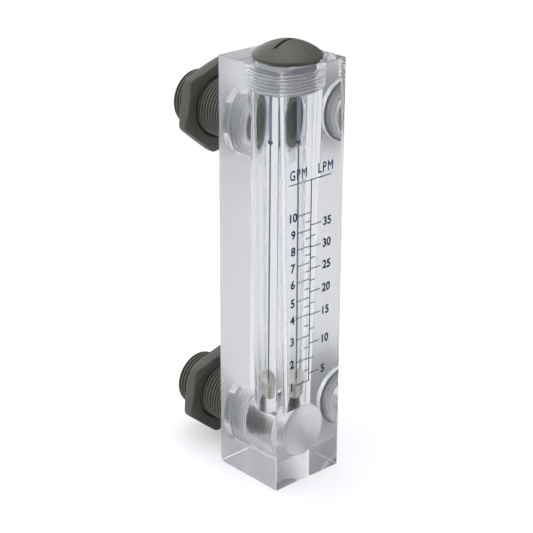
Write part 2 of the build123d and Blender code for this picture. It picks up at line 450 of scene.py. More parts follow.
def mottle(tree, given):
    """Two sizes of soft noise, the broad one as a mask from 0 to 1 and the fine one as a height."""
    fine_size = calc(tree, "MULTIPLY", given["Size"], given["Grain"])
    broad = add_node(tree, "TexNoise", {"Vector": given["Vector"], "Scale": given["Size"], "Detail": 3.0})
    fine = add_node(tree, "TexNoise", {"Vector": given["Vector"], "Scale": fine_size, "Detail": 2.0})
    spread = calc(tree, "MULTIPLY", calc(tree, "SUBTRACT", broad.outputs["Fac"], 0.5), given["Contrast"])
    return calc(tree, "ADD", spread, 0.5, True), fine.outputs["Fac"]


def edge_wear_and_hollow_shade(tree, given):
    """Where a surface stands out, broken up by noise, for rubbed wear, and where it is hollow, for painted
    shade, as masks from 0 to 1.
    """
    shape = add_node(tree, "NewGeometry").outputs["Pointiness"]
    noise = add_node(tree, "TexNoise", {"Vector": given["Vector"], "Scale": given["Size"]})
    proud = calc(tree, "SUBTRACT", shape, given["Start"])
    proud = calc(tree, "MULTIPLY", proud, given["Strength"], True)
    hollow = calc(tree, "SUBTRACT", calc(tree, "SUBTRACT", 1.0, given["Start"]), shape)
    return (calc(tree, "MULTIPLY", proud, noise.outputs["Fac"], True),
            calc(tree, "MULTIPLY", hollow, given["Strength"], True))


def tool_marks(tree, given):
    """Fine lines across one axis, weaker in patches, as a height and a mask. Stretch squeezes the
    pattern along each axis, so a large number there gives lines across it."""
    scaled = add_node(tree, "VectorMath", {0: given["Vector"], 1: given["Stretch"]}, operation="MULTIPLY")
    lines = add_node(tree, "TexNoise", {"Vector": scaled.outputs[0], "Scale": 1.0, "Detail": 2.0})
    patches = add_node(tree, "TexNoise", {"Vector": given["Vector"], "Scale": 180.0})
    weight = calc(tree, "MULTIPLY", patches.outputs["Fac"], given["Unevenness"])
    weight = calc(tree, "SUBTRACT", 1.0, weight, True)
    return calc(tree, "MULTIPLY", lines.outputs["Fac"], weight), lines.outputs["Fac"]


# How each shader node group is made, its inputs besides the vector with their defaults, and its outputs
PATTERNS = {
    "Mottle": (mottle, {"Size": 400.0, "Grain": 6.0, "Contrast": 1.5}, ("Mask", "Height")),
    "Edge wear": (edge_wear_and_hollow_shade, {"Start": 0.52, "Strength": 6.0, "Size": 900.0}, ("Mask", "Hollow")),
    "Tool marks": (tool_marks, {"Stretch": (60.0, 60.0, 5000.0), "Unevenness": 0.6}, ("Height", "Mask")),
}


def pattern_group(name):
    """The shader node group of that name, made once."""
    if name in bpy.data.node_groups:
        return bpy.data.node_groups[name]
    pattern, defaults, results = PATTERNS[name]
    tree = bpy.data.node_groups.new(name, "ShaderNodeTree")
    tree.interface.new_socket("Vector", in_out="INPUT", socket_type="NodeSocketVector")
    for label, default in defaults.items():
        kind = "NodeSocketFloat" if isinstance(default, float) else "NodeSocketVector"
        tree.interface.new_socket(label, in_out="INPUT", socket_type=kind).default_value = default
    for label in results:
        tree.interface.new_socket(label, in_out="OUTPUT", socket_type="NodeSocketFloat")
    given, result = tree.nodes.new("NodeGroupInput"), tree.nodes.new("NodeGroupOutput")
    for label, socket in zip(results, pattern(tree, given.outputs)):
        tree.links.new(socket, result.inputs[label])
    return tree


class Finish:
    """A new material with its Principled shader and the patterns that feed it."""

    def __init__(self, name, colour, roughness, metallic=0.0):
        self.material = bpy.data.materials.new(name)
        self.material.use_nodes = True
        self.tree = self.material.node_tree
        self.shader = self.tree.nodes["Principled BSDF"]
        self.set("Base Color", (*colour, 1.0))
        self.set("Roughness", roughness)
        self.set("Metallic", metallic)
        self.place = add_node(self.tree, "TexCoord").outputs["Object"]

    def set(self, socket, value):
        """Sets one of the shader's inputs, or joins it to a socket."""
        give(self.tree, self.shader.inputs[socket], value)

    def surface(self, shader):
        """Shows a shader other than the Principled one."""
        give(self.tree, self.tree.nodes["Material Output"].inputs["Surface"], shader)

    def pattern(self, name, **values):
        """Outputs of a node group, on Object coordinates, with its own values."""
        node = add_node(self.tree, "Group", node_tree=pattern_group(name))
        for label, value in {"Vector": self.place, **values}.items():
            give(self.tree, node.inputs[label], value)
        return node.outputs

    def blend(self, mask, first, second):
        """Mixes two colours, or a colour with a colour socket, by a mask."""
        ends = [end if isinstance(end, bpy.types.NodeSocket) else (*end, 1.0) for end in (first, second)]
        node = add_node(self.tree, "Mix", {"Factor": mask, 6: ends[0], 7: ends[1]}, data_type="RGBA")
        return node.outputs[2]

    def ramp(self, value, start, end, low=0.0, high=1.0):
        """Number that runs from low to high as a value runs from start to end."""
        ends = {"Value": value, "From Min": start, "From Max": end, "To Min": low, "To Max": high}
        return add_node(self.tree, "MapRange", ends).outputs["Result"]

    def rough(self, mask, low, high):
        """Makes the roughness run from low to high with a mask."""
        self.set("Roughness", self.ramp(mask, 0.0, 1.0, low, high))

    def bump(self, height, distance, strength=1.0):
        """Feeds the normal from a height, in metres."""
        node = add_node(self.tree, "Bump", {"Height": height, "Distance": distance, "Strength": strength})
        self.set("Normal", node.outputs["Normal"])

    def from_axis(self, across, along):
        """The root of the sum of two squares."""
        squares = [calc(self.tree, "MULTIPLY", side, side) for side in (across, along)]
        return calc(self.tree, "SQRT", calc(self.tree, "ADD", *squares))

    def from_ports(self):
        """Distance from the nearer port's axis: the root of x^2 + (|z - middle| - half the spacing)^2."""
        place = add_node(self.tree, "SeparateXYZ", {0: self.place}).outputs
        low, high = PORTS["inlet"]["height"], PORTS["outlet"]["height"]
        height = calc(self.tree, "ABSOLUTE", calc(self.tree, "SUBTRACT", place["Z"], (low + high) / 2))
        return self.from_axis(place["X"], calc(self.tree, "SUBTRACT", height, (high - low) / 2))

    def from_bore(self):
        """Distance from the axis of the measuring bore."""
        place = add_node(self.tree, "SeparateXYZ", {0: self.place}).outputs
        return self.from_axis(calc(self.tree, "SUBTRACT", place["X"], BORE_AXIS[0]),
                              calc(self.tree, "SUBTRACT", place["Y"], BORE_AXIS[1]))


def acrylic(name, tint, roughness, clearness, finish):
    """Clear acrylic. Light from the lamps passes straight through it, so that it reaches what is inside."""
    made = Finish(name, tint, roughness)
    made.set("Transmission Weight", clearness)
    made.set("IOR", ACRYLIC_IOR)
    level = finish.lamp_pass
    passed = add_node(made.tree, "BsdfTransparent", {"Color": (level, level, level, 1.0)})
    shadow = add_node(made.tree, "LightPath").outputs["Is Shadow Ray"]
    made.surface(mix_shaders(made.tree, shadow, made.shader.outputs[0], passed.outputs[0]))
    return made


def polished_finish(finish):
    """Polished clear acrylic with a trace of wipe marks."""
    made = acrylic("Polished acrylic", finish.clear, 0.0, 1.0, finish)
    made.rough(made.pattern("Mottle", Size=90.0, Grain=5.0, Contrast=3.0)["Mask"], 0.0, 0.012)
    return made.material


def cut_finish(name, finish, roughness, stretch, depth, clearness=1.0, spread=0.4, strength=1.0):
    """Cut acrylic with the marks of its tool, whose roughness goes up and down by a share of itself."""
    made = acrylic(name, finish.clear if clearness == 1.0 else finish.cut, roughness, clearness, finish)
    marks = made.pattern("Tool marks", Stretch=stretch, Unevenness=0.5)
    made.rough(marks["Mask"], roughness * (1 - spread), roughness * (1 + spread))
    made.bump(marks["Height"], depth, strength)
    return made.material


def tapped_finish(name, finish, roughness, clearness, around, root):
    """Acrylic cut by a tap: a dull surface with painted shade in its thread roots."""
    made = acrylic(name, finish.cut, roughness, clearness, finish)
    out = made.from_bore() if around == "bore" else made.from_ports()
    # Painted shade: darker, bluer colour in the thread roots
    dark = made.ramp(out, *(root - inside for inside in PAINTED_ROOT_SHADE))
    made.set("Base Color", made.blend(dark, finish.cut, finish.painted_groove_shade))
    soft = made.pattern("Mottle", Size=500.0, Grain=4.0, Contrast=1.5)
    made.rough(soft["Mask"], roughness * 0.7, roughness * 1.3)
    return made.material


def faced_finish(finish):
    """Acrylic faced by the drill's tip: fine rings about the port's axis, and a dull surface."""
    roughness = finish.face_rough
    made = acrylic("Faced acrylic", finish.cut, roughness, finish.face_clear, finish)
    rings = add_node(made.tree, "TexNoise", {"W": made.from_ports(), "Scale": 1300.0, "Detail": 3.0},
                     noise_dimensions="1D").outputs["Fac"]
    made.rough(rings, roughness * 0.6, roughness * 1.4)
    made.bump(rings, 0.4 * MM, 0.5)
    return made.material


def plastic_finish(name, finish, thread=None):
    """Moulded olive grey plastic: soft mottling, a fine grain, painted shade in its hollows and lighter
    rubbed edges.
    On a thread painted shade darkens the roots and painted highlights lighten the crests, and painted shade
    darkens the bore inside, which is also dull."""
    made = Finish(name, finish.plastic, 0.46)
    soft = made.pattern("Mottle", Size=260.0, Grain=9.0, Contrast=2.2)
    wear_and_shade = made.pattern("Edge wear", Start=0.51, Strength=9.0)
    # Lighter tone for rubbed edges and for painted highlights on thread crests; darker tone for painted shade
    lighter, darker = toned(finish.plastic, 1.7), toned(finish.plastic, 0.3)
    body = made.blend(soft["Mask"], finish.plastic_dark, finish.plastic)
    # Painted shade: darker colour in the hollows
    body = made.blend(wear_and_shade["Hollow"], body, darker)
    skin = made.ramp(soft["Mask"], 0.0, 1.0, 0.4, 0.54)
    if thread:
        out = made.from_ports()
        # Painted shade: much darker colour inside the fitting's bore
        inside = made.ramp(out, *PAINTED_BORE_SHADE)
        body = made.blend(inside, body, toned(finish.plastic, 0.15))
        # Painted highlight on the thread's crests and painted shade in its roots
        crest = made.ramp(out, thread.fitting_root, thread.fitting_crest)
        root = made.ramp(out, thread.fitting_crest - 0.3 * MM, thread.fitting_root)
        painted_groove_shade = calc(made.tree, "MULTIPLY", root, made.ramp(out, *PAINTED_THREAD_SHADE))
        body = made.blend(painted_groove_shade, body, darker)
        body = made.blend(made.ramp(crest, 0.6, 1.0), body, lighter)
        skin = calc(made.tree, "MAXIMUM", skin, inside)
    made.set("Base Color", made.blend(wear_and_shade["Mask"], body, lighter))
    made.set("Roughness", skin)
    made.bump(soft["Height"], 0.04 * MM, 0.5)
    made.set("Specular IOR Level", 0.42)
    return made.material


def plain_plastic(meter):
    """The plastic of the nuts and the plug, made once."""
    name = "Olive grey plastic"
    return bpy.data.materials.get(name) or plastic_finish(name, meter.finish)


def steel_finish(name, colour, roughness, stretch, depth):
    """Turned or drawn steel with the fine lines of its tool."""
    made = Finish(name, colour, roughness, 1.0)
    marks = made.pattern("Tool marks", Stretch=stretch, Unevenness=0.4)
    made.set("Base Color", made.blend(marks["Mask"], toned(colour, 0.72), colour))
    made.rough(marks["Mask"], roughness * 0.75, roughness * 1.3)
    made.bump(marks["Height"], depth, 0.6)
    return made.material


def mottled_finish(name, colour, paler, pattern, roughness, bump=None, **inputs):
    """A material in two close tones. The pattern is the mottle's size, grain and contrast, the roughness
    goes from its first number to its second, and the bump has a depth and a strength. More of the
    shader's inputs go by name, with _ for a space."""
    made = Finish(name, colour, roughness[0])
    soft = made.pattern("Mottle", **dict(zip(("Size", "Grain", "Contrast"), pattern)))
    made.set("Base Color", made.blend(soft["Mask"], colour, toned(colour, paler)))
    made.rough(soft["Mask"], *roughness)
    if bump:
        made.bump(soft["Height"], *bump)
    for socket, value in inputs.items():
        made.set(socket.replace("_", " "), value)
    return made.material


def seal_finish(finish):
    """Smooth slate rubber with a faint bloom."""
    return mottled_finish("Slate rubber", finish.seal, 1.6, (700.0, 4.0, 2.0), (0.42, 0.58),
                          (0.02 * MM, 0.4))


def bumper_finish(finish):
    """Dark soft stop."""
    return mottled_finish("Dark rubber", finish.bumper, 1.6, (1500.0, 3.0, 2.0), (0.36, 0.5))


def sleeve_finish(finish):
    """Milky blue-grey tube."""
    return mottled_finish("Milky tube", finish.sleeve, 1.25, (900.0, 4.0, 2.0), (0.28, 0.42),
                          Transmission_Weight=0.6, IOR=1.4)


def ink_finish(finish):
    """Screen-printed ink, slightly uneven."""
    return mottled_finish("Printed ink", finish.ink, 1.7, (1800.0, 3.0, 2.5), (0.4, 0.6), (0.01 * MM, 0.5),
                          Specular_IOR_Level=0.05)


# Pieces

# Rows along the measuring bore's taper, and points round the fittings and the plug, and round the rod's hole
TAPER_ROWS, ROUND_COLUMNS, HOLE_COLUMNS = 25, 144, 32

# Small lengths of the turned outlines: how far a cutter stands out of what it cuts, the length over which one
# diameter steps to the next, a drill's tip, the bevel of its edge, and the room between its wall and a thread
PROUD, STEP, DRILL_TIP, DRILL_BEVEL, DRILL_ROOM = MM, 0.02 * MM, 0.02 * MM, 0.15 * MM, 0.01 * MM


def plug_floor(block):
    """Height of the plug hole's floor."""
    return BLOCK_HIGH.z - block.plug_hole_depth


def drill_end(block, side):
    """Place along Y at which a port's smooth bore ends and its cone starts."""
    return BLOCK_HIGH.y - (block.inlet_drill if side == "inlet" else block.outlet_drill)


def main_cutter(meter):
    """Measuring bore, threaded plug hole and recess in one turned surface. The bore widens in a straight
    line from its taper's start to the plug hole's floor."""
    block, thread = meter.block, meter.thread
    floor, recess = plug_floor(block), BLOCK_HIGH.z - block.plug_recess_depth
    height = np.linspace(block.bore_foot, floor, TAPER_ROWS)
    share_up = (height - block.bore_foot) / (floor - block.bore_foot)
    radius = block.bore_low + (block.bore_top - block.bore_low) * share_up
    rows = np.concatenate([
        plain((PORTS["inlet"]["height"], block.bore_low)),
        np.stack([height, radius, 0 * height], -1),
        thread_rows(floor, recess, thread.plug_hole_crest, thread.plug_hole_root, thread.plug_pitch, thread,
                    run_in=thread.plug_pitch / 2),
        plain((recess, block.plug_recess_radius), (BLOCK_HIGH.z + PROUD, block.plug_recess_radius))])
    return turned_piece("bore_cutter", rows, thread.columns, thread.plug_pitch,
                        (thread.flat, thread.rounding), "Z", BORE_AXIS)


def port_cutter(meter, side):
    """A port's smooth drilled bore, thread and recess in one turned surface."""
    block, thread = meter.block, meter.thread
    back, end = BLOCK_HIGH.y, drill_end(block, side)
    thread_end, recess = back - block.thread_depth, back - block.recess_depth
    rows = np.concatenate([
        plain((end - block.drill_cone, DRILL_TIP), (end, block.drill_radius - DRILL_BEVEL),
              (end + DRILL_BEVEL, block.drill_radius), (thread_end - DRILL_ROOM, block.drill_radius)),
        thread_rows(thread_end, recess, thread.port_crest, thread.port_root, thread.port_pitch, thread,
                    run_in=thread.port_pitch / 2),
        plain((recess, block.recess_radius), (back + PROUD, block.recess_radius))])
    return turned_piece(side + "_cutter", rows, thread.columns, thread.port_pitch,
                        (thread.flat, thread.rounding), "Y", (0.0, PORTS[side]["height"]))


def block_zones(centres, block):
    """Material number of each face of the block: 0 polished outside, 1 tapped ports, 2 bored, 3 drilled,
    4 the turned ends of the drilled bores, 5 the milled back, 6 the tapped plug hole, 7 top and bottom,
    8 the recesses of the sealing rings."""
    # A face this near an outer face is part of it, and one further in than the edge is inside. The slack
    # takes in walls whose flat faces stand a little inside their true circle.
    skin, edge, slack = 0.01 * MM, 0.5 * MM, 0.2 * MM
    x, y, z = centres.T
    top, back = BLOCK_HIGH.z, BLOCK_HIGH.y
    inside = (np.abs(x) < BLOCK_HIGH.x - MM) & (np.abs(y) < back - edge) & (z > MM) & (z < top - edge)
    from_bore = np.hypot(x - BORE_AXIS[0], y - BORE_AXIS[1])
    zone = np.where(inside, 2, np.where(y > back - skin, 5, 0))
    zone[(z < skin) | (z > top - skin)] = 7
    in_recess = z > top - block.plug_recess_depth - STEP
    tapped = (z > plug_floor(block)) & (z < top - block.plug_recess_depth - STEP)
    zone[inside & tapped & (from_bore > block.bore_top)] = 6
    zone[inside & in_recess] = 8
    for side, port in PORTS.items():
        from_port = np.hypot(x, z - port["height"])
        end = drill_end(block, side) - MM
        wall = (from_port > block.drill_radius - 2 * slack) & (from_port < block.recess_radius + slack)
        bottom = (from_port < block.drill_radius) & (y < end + 1.1 * MM) & (y > end)
        drilled = inside & (y > end) & (wall | bottom)
        zone[drilled & (y < back - block.thread_depth)] = 3
        zone[drilled & (y >= back - block.thread_depth)] = 1
        zone[drilled & (y > back - block.recess_depth - STEP)] = 8
        zone[inside & bottom & (from_port < block.drill_radius - slack)] = 4
    return zone


def true_bores(mesh, zones, block):
    """Gives the smooth bores the normals of true round ones. In the measuring bore the normal points to the
    axis and leans down by its taper, and in a drilled bore it points to the port's axis."""
    sizes = read_all(mesh.polygons, "loop_total", kind=int)
    points = read_all(mesh.vertices, "co", 3)[read_all(mesh.loops, "vertex_index", kind=int)]
    centres = np.repeat(read_all(mesh.polygons, "center", 3), sizes, 0)
    zone = np.repeat(zones, sizes)
    foot, floor = block.bore_foot, plug_floor(block)
    near, straight = 0.1 * MM, 5 * MM  # how close to its wall a face must be, and the bore under its taper
    lean = (block.bore_top - block.bore_low) / (floor - foot)
    height = centres[:, 2]
    from_bore = np.hypot(*(centres[:, :2] - BORE_AXIS).T)
    bored = ((zone == 2) & (height < floor) & (height > foot - straight)
             & (from_bore > block.bore_low - 2 * near)
             & (centres[:, 1] < BLOCK_HIGH.y - block.recess_depth - near))
    inward = np.stack([BORE_AXIS[0] - points[:, 0], BORE_AXIS[1] - points[:, 1], 0 * zone], -1)
    normals = np.zeros((len(zone), 3))
    normals[bored] = inward[bored] / np.linalg.norm(inward[bored], axis=1)[:, None]
    normals[bored, 2] = np.where((height > foot) & (height < floor), lean, 0.0)[bored]
    for port in PORTS.values():
        to_axis = np.stack([-points[:, 0], 0 * zone, port["height"] - points[:, 2]], -1)
        away = np.hypot(centres[:, 0], centres[:, 2] - port["height"])
        drilled = (zone == 3) & (away > block.drill_radius - near) & (away < block.drill_radius + near)
        normals[drilled] = to_axis[drilled] / np.linalg.norm(to_axis[drilled], axis=1)[:, None]
    mesh.normals_split_custom_set(normals.tolist())


class FLOWMETER_OT_block(bpy.types.Operator):
    """Builds the clear block with its bores and threads"""
    bl_idname = "flowmeter.block"
    bl_label = "Clear Block"

    def execute(self, context):
        meter = context.scene.flow_meter
        piece = cuboid("clear_block", BLOCK_LOW, BLOCK_HIGH)
        edge = piece.modifiers.new("edge", "BEVEL")
        edge.width, edge.segments = meter.block.edge, 2
        bake_modifiers(piece)
        cut_away(piece, [main_cutter(meter), port_cutter(meter, "inlet"), port_cutter(meter, "outlet")])
        finish, thread = meter.finish, meter.thread
        finish_piece(piece, "meter", ["acrylic_body"], [
            polished_finish(finish),
            tapped_finish("Tapped acrylic", finish, finish.tap_rough, finish.tap_clear, "port",
                          thread.port_root),
            cut_finish("Bored acrylic", finish, finish.bore_rough, (500.0, 500.0, 9.0), 0.002 * MM),
            cut_finish("Drilled acrylic", finish, finish.drill_rough, (60.0, 3500.0, 60.0), 0.01 * MM),
            faced_finish(finish),
            cut_finish("Milled acrylic", finish, finish.mill_rough, (2600.0, 60.0, 60.0), 0.02 * MM,
                       finish.mill_clear, spread=0.2, strength=0.5),
            tapped_finish("Tapped plug hole", finish, finish.plug_rough, finish.plug_clear, "bore",
                          thread.plug_hole_root),
            cut_finish("Machined ends", finish, finish.end_rough, (2200.0, 60.0, 60.0), 0.002 * MM,
                       finish.end_clear),
            cut_finish("Turned recess", finish, 0.1, (900.0, 900.0, 900.0), 0.002 * MM, finish.recess_clear),
        ], sharp_above=28)
        zones = block_zones(read_all(piece.data.polygons, "center", 3), meter.block)
        piece.data.polygons.foreach_set("material_index", zones.astype(np.int32))
        piece.data.polygons.foreach_set("use_smooth", ~np.isin(zones, (0, 5, 7)))
        piece.data.update()
        true_bores(piece.data, zones, meter.block)
        return {"FINISHED"}


def fitting_rows(meter, low, high):
    """A fitting's outline from its inner end: thread, smooth neck for the ring, thread, and back inside.
    The bore's edge at both ends is 0.6 of the end edge."""
    parts, thread = meter.fittings, meter.thread
    neck_start = BLOCK_HIGH.y - meter.block.recess_depth
    neck_end = neck_start + parts.neck_length
    outer = neck_end + thread.fitting_crest - parts.neck
    edge = parts.end_edge * 0.6
    lead, fade, shoulder = 0.8 * MM, 0.5 * MM, 0.3 * MM
    shape = (thread.fitting_root, thread.fitting_crest, thread.port_pitch, thread)
    return np.concatenate([
        plain((low + edge, parts.bore), (low, parts.bore + edge)),
        thread_rows(low, neck_start - STEP, *shape, run_in=lead, run_out=fade),
        plain((neck_start, parts.neck), (neck_end, parts.neck)),
        thread_rows(neck_end + shoulder, high, *shape, run_in=outer - neck_end, run_out=lead),
        plain((high, parts.bore + edge), (high - edge, parts.bore))])


class FLOWMETER_OT_fittings(bpy.types.Operator):
    """Builds both threaded fittings"""
    bl_idname = "flowmeter.fittings"
    bl_label = "Fittings"

    def execute(self, context):
        meter = context.scene.flow_meter
        plastic = plastic_finish("Threaded plastic", meter.finish, meter.thread)
        for side, port in PORTS.items():
            rows = fitting_rows(meter, port["low"].y, port["high"].y)
            form = (meter.thread.fitting_flat, meter.thread.rounding)
            piece = turned_piece(side + "_threaded_fitting", rows, ROUND_COLUMNS, meter.thread.port_pitch,
                                 form, "Y", (0.0, port["height"]), ring=True)
            finish_piece(piece, "meter", [side + "_fitting"], [plastic], sharp_above=40)
        return {"FINISHED"}


def nut_points(parts, low, high, height, columns=240, across=14, along=8):
    """Points of a hexagon nut. For each turn the flats lie at width / 2 / cos(angle to the nearest flat),
    the corners are rounded by a soft minimum with the corner circle, the faces fall away beyond the bevel
    as distance * tan(bevel angle), and the outline runs out over one face, along the side and back."""
    tuck, bend = 0.7, 0.6  # shares of the rounding at the faces' rims and where the bevel starts
    turn = np.linspace(0, TURN, columns, endpoint=False)
    sixth = TURN / 6
    to_flat = (turn - parts.nut_turn) % sixth - sixth / 2
    flat = parts.nut_width / 2 / np.cos(to_flat)
    soft, tip = parts.nut_round, parts.nut_width / math.sqrt(3)
    outer = -soft * np.logaddexp(-flat / soft, -(tip - soft) / soft)
    start = tip - parts.nut_bevel
    middle, half = (low + high) / 2, (high - low) / 2

    def drop(radius):
        beyond = np.logaddexp(0, (radius - start) / (soft * bend)) * soft * bend
        return beyond * math.tan(parts.nut_corner_angle)

    share_out = np.linspace(0, 1, across)[:, None]
    mouth = parts.nut_bore + parts.nut_mouth
    face = mouth + (outer - soft * tuck - mouth) * share_out
    face_place = -(half - drop(face))
    side = np.linspace(-1, 1, along)[:, None]
    side_radius = outer - soft * tuck * (1 - np.sqrt(np.clip(1 - side ** 8, 0, 1)))
    side_place = side * (half - drop(outer))
    bore, bore_end = np.full((1, columns), parts.nut_bore), np.full((1, columns), half - parts.nut_mouth)
    radius = np.concatenate([bore, face, side_radius, face[::-1], bore])
    place = np.concatenate([-bore_end, face_place, side_place, -face_place[::-1], bore_end])
    return np.stack([radius * np.cos(turn), middle + place, height - radius * np.sin(turn)], -1)


class FLOWMETER_OT_nuts(bpy.types.Operator):
    """Builds both panel nuts"""
    bl_idname = "flowmeter.nuts"
    bl_label = "Panel Nuts"

    def execute(self, context):
        meter = context.scene.flow_meter
        plastic = plain_plastic(meter)
        for side, port in PORTS.items():
            low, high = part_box(side + "_panel_nut")
            points = nut_points(meter.fittings, low.y, high.y, port["height"])
            piece = new_piece(side + "_moulded_nut", points, grid_faces(*points.shape[:2], True))
            finish_piece(piece, side + "_nut", [side + "_panel_nut"], [plastic], sharp_above=32)
        return {"FINISHED"}


def plug_rows(meter):
    """The plug's outline from its lower end up: threaded shank, neck, rim and dome.
    The dome is part of a sphere of radius (r^2 + h^2) / 2h for a head of radius r that rises by h."""
    parts, thread = meter.fittings, meter.thread
    dome_rows, apex_radius, soft = 40, 0.05 * MM, 0.25 * MM
    shank_top = BLOCK_HIGH.z - meter.block.plug_recess_depth
    base = BLOCK_HIGH.z + parts.cap_lift
    rim = base + parts.cap_rim
    sphere = (parts.cap_radius ** 2 + parts.cap_dome ** 2) / (2 * parts.cap_dome)
    lean = np.linspace(math.asin(parts.cap_radius / sphere), 0.0, dome_rows)[:-1]
    height = rim + parts.cap_dome - sphere + sphere * np.cos(lean)
    return np.concatenate([
        thread_rows(shank_top - parts.plug_shank, shank_top - STEP, thread.plug_root, thread.plug_crest,
                    thread.plug_pitch, thread, run_in=0.7 * MM, run_out=0.4 * MM),
        plain((shank_top, parts.plug_neck), (base, parts.plug_neck), (base, parts.cap_radius - soft),
              (base + soft * 0.4, parts.cap_radius - soft * 0.3), (base + soft, parts.cap_radius),
              (rim - soft * 0.5, parts.cap_radius)),
        np.stack([height, sphere * np.sin(lean), 0 * lean], -1),
        plain((rim + parts.cap_dome, apex_radius))])


def slot_cutter(meter):
    """A slot with round ends: half circles of the slot's width at both ends of a straight run."""
    parts, end_points = meter.fittings, 13
    apex = BLOCK_HIGH.z + parts.cap_lift + parts.cap_rim + parts.cap_dome
    round_end = parts.slot_width / 2
    half = parts.slot_length / 2 - round_end
    turn = np.linspace(-TURN / 4, TURN / 4, end_points)
    along = np.concatenate([half + round_end * np.cos(turn), -half - round_end * np.cos(turn)])
    aside = np.concatenate([round_end * np.sin(turn), -round_end * np.sin(turn)])
    cos, sin = math.cos(parts.slot_turn), math.sin(parts.slot_turn)
    x, y = BORE_AXIS[0] + along * cos - aside * sin, BORE_AXIS[1] + along * sin + aside * cos
    points = [np.stack([x, y, 0 * x + height], -1) for height in (apex - parts.slot_depth, apex + PROUD)]
    return new_piece("slot_cutter", points, grid_faces(2, len(x), False) + end_faces(2, len(x)))


class FLOWMETER_OT_plug(bpy.types.Operator):
    """Builds the slotted top plug"""
    bl_idname = "flowmeter.plug"
    bl_label = "Top Plug"

    def execute(self, context):
        meter = context.scene.flow_meter
        parts = meter.fittings
        piece = turned_piece("slotted_plug", plug_rows(meter), ROUND_COLUMNS, meter.thread.plug_pitch,
                             (meter.thread.fitting_flat, meter.thread.rounding), "Z", BORE_AXIS)
        end = BLOCK_HIGH.z - meter.block.plug_recess_depth - parts.plug_shank
        rows = plain((end - PROUD, parts.rod_hole), (end + parts.rod_hole_depth, parts.rod_hole))
        hole = turned_piece("rod_cutter", rows, HOLE_COLUMNS, 0, None, "Z", BORE_AXIS)
        cut_away(piece, [slot_cutter(meter), hole])
        plastic = plain_plastic(meter)
        finish_piece(piece, "meter", ["top_plug"], [plastic], sharp_above=34)
        return {"FINISHED"}


# The print on the front face, in metres: both ends of the underline, the middles of the numbers on either
# side and of the first on the right, how far the numbers' middles lie under their marks, and the middles of
# the unit words across and up
UNDERLINE = (-13 * MM, 12 * MM)
LEFT_NUMBERS, RIGHT_NUMBERS, RIGHT_FIRST = -10.2 * MM, 9.7 * MM, 8.5 * MM
LEFT_DROP, RIGHT_DROP = 0.2 * MM, 0.1 * MM
WORDS = {"GPM": -7.6 * MM, "LPM": 8.2 * MM}
WORD_HEIGHT = 148.1 * MM

# How wide the built-in letters are made, as a share, for the numbers on either side and the unit words, and
# how far apart the letters of a word stand
LEFT_WIDE, RIGHT_WIDE, WORD_WIDE, WORD_SPACING = 0.95, 0.92, 0.74, 1.2


def with_halves(numbered):
    """Heights of the numbered marks and, straight between them, of the short marks halfway."""
    count = len(numbered)
    return np.interp(np.arange(2 * count - 1) / 2, np.arange(count), numbered)


def print_place(outer, scale):
    """Place along Y of the printed ink's points, outer or against the block."""
    return BLOCK_LOW.y - scale.gap - np.where(outer, scale.print, 0.0)


def bars(boxes, scale):
    """Flat printed bars, each (left, right, low, high), as points and faces of thin boxes."""
    boxes = np.array(boxes, float)
    x = np.where(BOX_CORNERS[:, 0], boxes[:, 1:2], boxes[:, 0:1])
    z = np.where(BOX_CORNERS[:, 2], boxes[:, 3:4], boxes[:, 2:3])
    y = np.broadcast_to(print_place(BOX_CORNERS[:, 1] == 0, scale), x.shape)
    faces = BOX_FACES + len(BOX_CORNERS) * np.arange(len(boxes))[:, None, None]
    return np.stack([x, y, z], -1), faces.reshape(-1, 4).tolist()


def letters(text, height, middle_x, middle_z, scale, bold, narrow, spacing=1.0):
    """A printed word of a given height, centred on a place of the front face, as points and faces.
    A flat rim round the outlines of the built-in letters makes them bold."""
    curve = bpy.data.curves.new("word", "FONT")
    curve.body, curve.size, curve.extrude = text, 1.0, 0.5
    curve.space_character = spacing
    curve.resolution_u, curve.bevel_depth, curve.bevel_resolution = 6, bold, 0
    holder = bpy.data.objects.new("word", curve)
    bpy.context.scene.collection.objects.link(holder)
    bpy.context.view_layer.update()
    mesh = bpy.data.meshes.new_from_object(holder.evaluated_get(bpy.context.evaluated_depsgraph_get()))
    flat = read_all(mesh.vertices, "co", 3)
    faces = [list(face.vertices) for face in mesh.polygons]
    low, high = flat.min(0), flat.max(0)
    size = height / (high[1] - low[1])
    x = middle_x + (flat[:, 0] - (low[0] + high[0]) / 2) * size * narrow
    z = middle_z + (flat[:, 1] - (low[1] + high[1]) / 2) * size
    bpy.data.objects.remove(holder)
    return np.stack([x, print_place(flat[:, 2] > 0, scale), z], -1), faces


def join_prints(name, prints):
    """One piece out of several lots of points and faces, with outward faces."""
    points = np.concatenate([p for p, _ in prints])
    starts = np.cumsum([0] + [len(p) for p, _ in prints[:-1]])
    faces = [[v + int(start) for v in face] for (_, lot), start in zip(prints, starts) for face in lot]
    piece = new_piece(name, points, faces)
    shape = bmesh.new()
    shape.from_mesh(piece.data)
    bmesh.ops.remove_doubles(shape, verts=shape.verts, dist=1e-7)
    bmesh.ops.recalc_face_normals(shape, faces=shape.faces)
    shape.to_mesh(piece.data)
    shape.free()
    return piece


